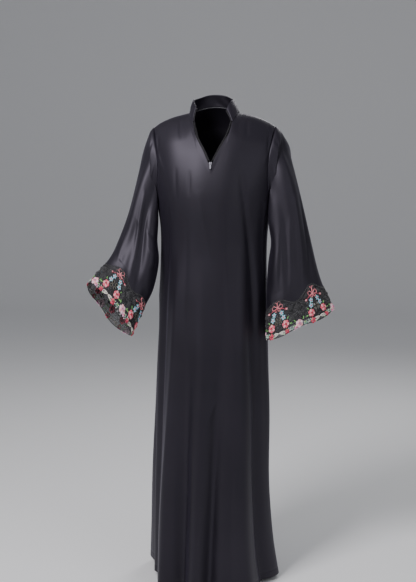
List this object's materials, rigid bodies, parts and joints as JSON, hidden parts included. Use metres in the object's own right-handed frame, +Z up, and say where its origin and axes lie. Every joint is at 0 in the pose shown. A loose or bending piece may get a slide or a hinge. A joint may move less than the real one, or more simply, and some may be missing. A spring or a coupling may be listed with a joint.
{
  "type": "abaya",
  "caption": "Loose floor-length black abaya in its worn form, with stand collar, short neck zip and wide sleeves edged in embroidered lace.",
  "frame": {"origin": "centre of the neck at the height of the high shoulder points, where the garment hangs from its wearer", "axes": "+Z up, -Y the garment's front, +X the wearer's left"},
  "size_m": [0.7511, 0.4157, 1.5205],
  "materials": {
    "cloth": "soft black crepe with a faint violet sheen",
    "lace": "black floral lace with coloured embroidery",
    "tape": "woven zip tape",
    "zip_metal": "satin nickel"
  },
  "bodies": {
    "garment": {"front_panel": "cloth", "back_panel": "cloth", "sleeve_right": "cloth", "sleeve_left": "cloth", "collar": "cloth", "lace_cuff_right_front": "lace", "lace_cuff_right_back": "lace", "lace_cuff_left_front": "lace", "lace_cuff_left_back": "lace", "zip_tape_right": "tape", "zip_tape_left": "tape", "zip_slider": "zip_metal"},
    "zip_pull": {"zip_pull": "zip_metal"}
  },
  "joints": [
    {"name": "zip_pull_hinge", "type": "hinge", "parent": "garment", "child": "zip_pull", "pos_m": [0, -0.12959, -0.17062], "axis": [-1, 0, 0], "range_deg": [0, 150]}
  ]
}
